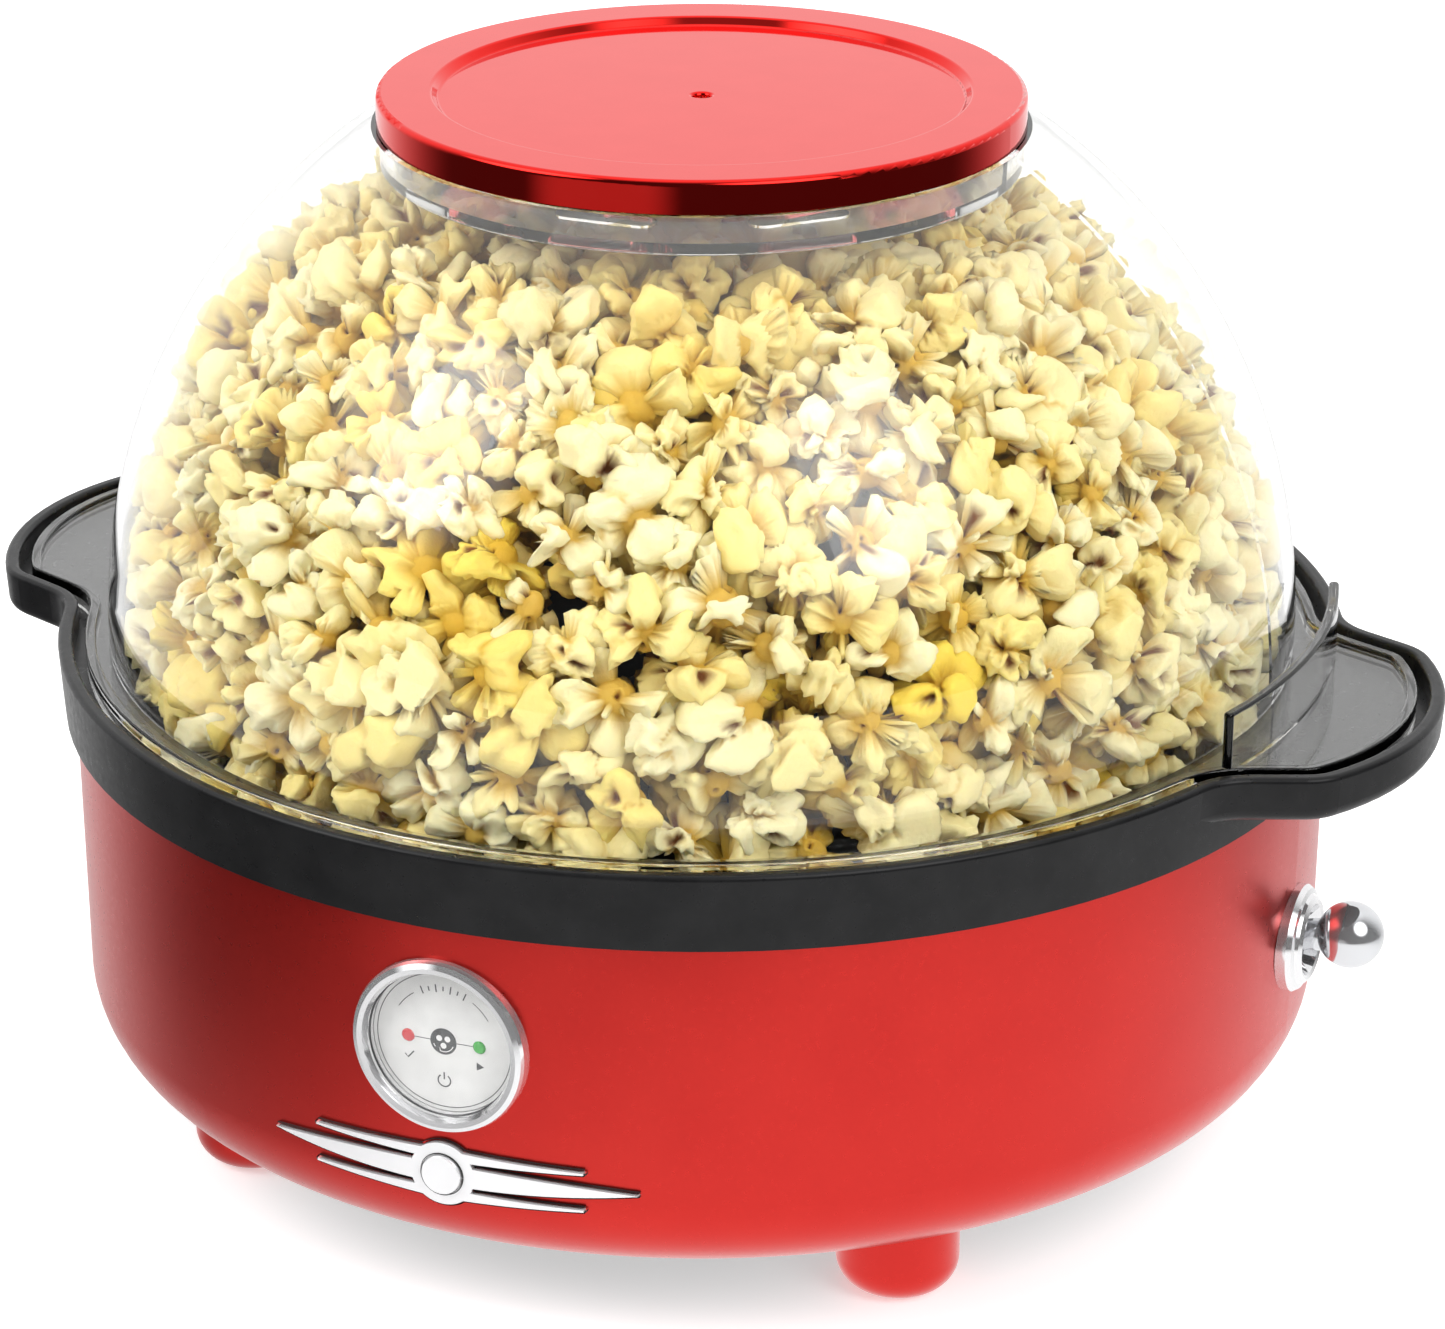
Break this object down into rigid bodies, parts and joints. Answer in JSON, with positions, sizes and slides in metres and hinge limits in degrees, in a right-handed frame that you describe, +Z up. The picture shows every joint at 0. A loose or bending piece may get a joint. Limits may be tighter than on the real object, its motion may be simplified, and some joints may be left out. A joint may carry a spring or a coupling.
{
  "type": "popcorn maker",
  "caption": "Round countertop popcorn maker with a red body, black ring with two handles, clear lift-off dome, red cap, powered stirring rod, front gauge and side toggle switch.",
  "frame": {"origin": "on the vertical axis of the round body, on the surface the feet stand on", "axes": "+X to the switch and the right handle, -Y to the front with the gauge, +Z up"},
  "size_m": [0.3678, 0.3128, 0.2572],
  "materials": {
    "body_red": "glossy metallic red moulding",
    "cap_red": "mirror-like red metallised moulding",
    "ring_black": "satin black moulding",
    "inner_black": "matt black moulding",
    "dome_clear": "clear moulding",
    "lens_clear": "clear moulding",
    "chrome": "chromed moulding",
    "chrome_dark": "chromed moulding",
    "dial_white": "printed satin white",
    "lamp_red": "tinted clear lamp",
    "lamp_green": "tinted clear lamp",
    "nonstick": "dark non-stick coating on aluminium",
    "bare_aluminium": "mill finish",
    "ceramic_white": "white insulator",
    "moulding_white": "plain moulding",
    "coil_copper": "enamelled winding",
    "bush_brass": "turned",
    "gear_white": "moulded acetal",
    "magnet_dark": "ferrite",
    "grommet_rubber": "matt rubber",
    "zinc_steel": "zinc plated"
  },
  "bodies": {
    "base": {"base_shell": "body_red", "bottom_cover": "inner_black", "bracket_screws": "zinc_steel", "bush_clip": "zinc_steel", "cord_grommet": "grommet_rubber", "cover_screws": "zinc_steel", "element_insulators": "ceramic_white", "element_terminals": "bush_brass", "foot_front_left": "body_red", "foot_front_right": "body_red", "foot_rear_left": "body_red", "foot_rear_right": "body_red", "foot_screws": "zinc_steel", "front_trim": "chrome", "fuse_clip": "zinc_steel", "gauge_bezel": "chrome", "gauge_face": "dial_white", "gauge_housing": "moulding_white", "gauge_lens": "lens_clear", "gear_pin": "zinc_steel", "gearbox_case": "moulding_white", "gearbox_lid": "zinc_steel", "gearbox_screws": "zinc_steel", "handle_ring": "ring_black", "heat_shield": "bare_aluminium", "heating_element": "bare_aluminium", "heating_plate": "nonstick", "lamp_green": "lamp_green", "lamp_red": "lamp_red", "motor_bracket": "zinc_steel", "motor_can": "zinc_steel", "motor_coil": "coil_copper", "pan_clamp_screws": "zinc_steel", "plate_studs": "zinc_steel", "ring_screws": "zinc_steel", "shaft_bush": "bush_brass", "shield_nuts": "zinc_steel", "stator_poles": "zinc_steel", "switch_bezel": "chrome", "switch_body": "inner_black", "switch_nut": "zinc_steel", "switch_pin": "zinc_steel", "terminal_block": "ceramic_white", "terminal_screws": "bush_brass", "thermal_fuse": "zinc_steel", "thermostat": "inner_black", "thermostat_cap": "bare_aluminium", "thermostat_screws": "zinc_steel"},
    "dome": {"dome": "dome_clear"},
    "cap": {"dome_cap": "cap_red"},
    "stirrer": {"output_gear": "gear_white", "drive_shaft": "zinc_steel", "stirring_rod": "zinc_steel", "stir_hub": "zinc_steel", "hub_nut": "zinc_steel"},
    "compound": {"compound_gear": "gear_white"},
    "rotor": {"rotor_pinion": "gear_white", "rotor_shaft": "zinc_steel", "rotor_magnet": "magnet_dark"},
    "lever": {"switch_lever": "chrome_dark"}
  },
  "joints": [
    {"name": "dome_lift", "type": "slide", "parent": "base", "child": "dome", "axis": [0, 0, 1], "range_m": [0, 0.16]},
    {"name": "cap_lift", "type": "slide", "parent": "dome", "child": "cap", "axis": [0, 0, 1], "range_m": [0, 0.05]},
    {"name": "stirrer_spin", "type": "hinge", "parent": "base", "child": "stirrer", "pos_m": [0, 0, 0.1], "axis": [0, 0, 1], "continuous": true},
    {"name": "compound_spin", "type": "hinge", "parent": "base", "child": "compound", "pos_m": [0.0181, 0, 0.05], "axis": [0, 0, 1], "continuous": true},
    {"name": "rotor_spin", "type": "hinge", "parent": "base", "child": "rotor", "pos_m": [0.00905, 0.01568, 0.04], "axis": [0, 0, 1], "continuous": true},
    {"name": "switch_toggle", "type": "hinge", "parent": "base", "child": "lever", "pos_m": [0.149, 0, 0.0644], "axis": [0, 1, 0], "range_deg": [0, 20]}
  ],
  "couplings": [
    {"joint": "compound_spin", "follows": "stirrer_spin", "ratio": -4},
    {"joint": "rotor_spin", "follows": "stirrer_spin", "ratio": 16}
  ]
}
